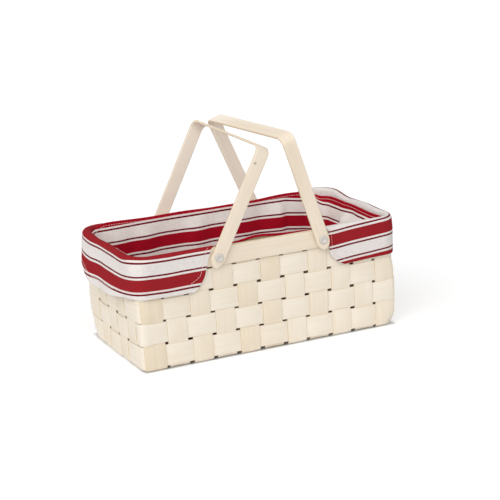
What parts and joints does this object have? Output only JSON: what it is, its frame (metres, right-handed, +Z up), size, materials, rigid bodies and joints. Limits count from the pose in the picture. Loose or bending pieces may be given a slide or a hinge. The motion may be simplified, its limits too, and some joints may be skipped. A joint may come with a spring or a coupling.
{
  "type": "picnic basket",
  "caption": "Open rectangular picnic basket woven from wide pine splints, with two riveted swing handles and a striped cloth liner folded over both ends.",
  "frame": {"origin": "middle of the basket's footprint, on the surface it stands on", "axes": "+X along the basket's length, +Y across it from the front to the back, +Z up"},
  "size_m": [0.3536, 0.1998, 0.2609],
  "materials": {
    "splint_wood": "bare split pine, pale cream with fine grain",
    "rim_wood": "bare sawn pine",
    "handle_wood": "smooth bare bent wood",
    "rivet_metal": "dull pressed metal",
    "striped_cloth": "red and white striped cotton, washed"
  },
  "bodies": {
    "basket": {"cross_splint_01": "splint_wood", "cross_splint_02": "splint_wood", "cross_splint_03": "splint_wood", "cross_splint_04": "splint_wood", "cross_splint_05": "splint_wood", "cross_splint_06": "splint_wood", "cross_splint_07": "splint_wood", "cross_splint_08": "splint_wood", "cross_splint_09": "splint_wood", "cross_splint_10": "splint_wood", "cross_splint_11": "splint_wood", "long_splint_1": "splint_wood", "long_splint_2": "splint_wood", "long_splint_3": "splint_wood", "long_splint_4": "splint_wood", "long_splint_5": "splint_wood", "weaver_hoop_1": "splint_wood", "weaver_hoop_2": "splint_wood", "weaver_hoop_3": "splint_wood", "weaver_hoop_4": "splint_wood", "rim_band_outer": "rim_wood", "rim_band_inner": "rim_wood", "rivet_front_left": "rivet_metal", "rivet_front_right": "rivet_metal", "rivet_back_left": "rivet_metal", "rivet_back_right": "rivet_metal", "leg_washer_front_left": "rivet_metal", "leg_washer_front_right": "rivet_metal", "leg_washer_back_left": "rivet_metal", "leg_washer_back_right": "rivet_metal", "rim_washer_front_left": "rivet_metal", "rim_washer_front_right": "rivet_metal", "rim_washer_back_left": "rivet_metal", "rim_washer_back_right": "rivet_metal", "liner_bag": "striped_cloth", "liner_cuff_left": "striped_cloth", "liner_cuff_right": "striped_cloth"},
    "left_handle": {"handle_left": "handle_wood"},
    "right_handle": {"handle_right": "handle_wood"}
  },
  "joints": [
    {"name": "left_handle_swing", "type": "hinge", "parent": "basket", "child": "left_handle", "pos_m": [-0.068, 0, 0.12475], "axis": [0, 1, 0], "range_deg": [-154, 0]},
    {"name": "right_handle_swing", "type": "hinge", "parent": "basket", "child": "right_handle", "pos_m": [0.068, 0, 0.12475], "axis": [0, 1, 0], "range_deg": [0, 144]}
  ]
}
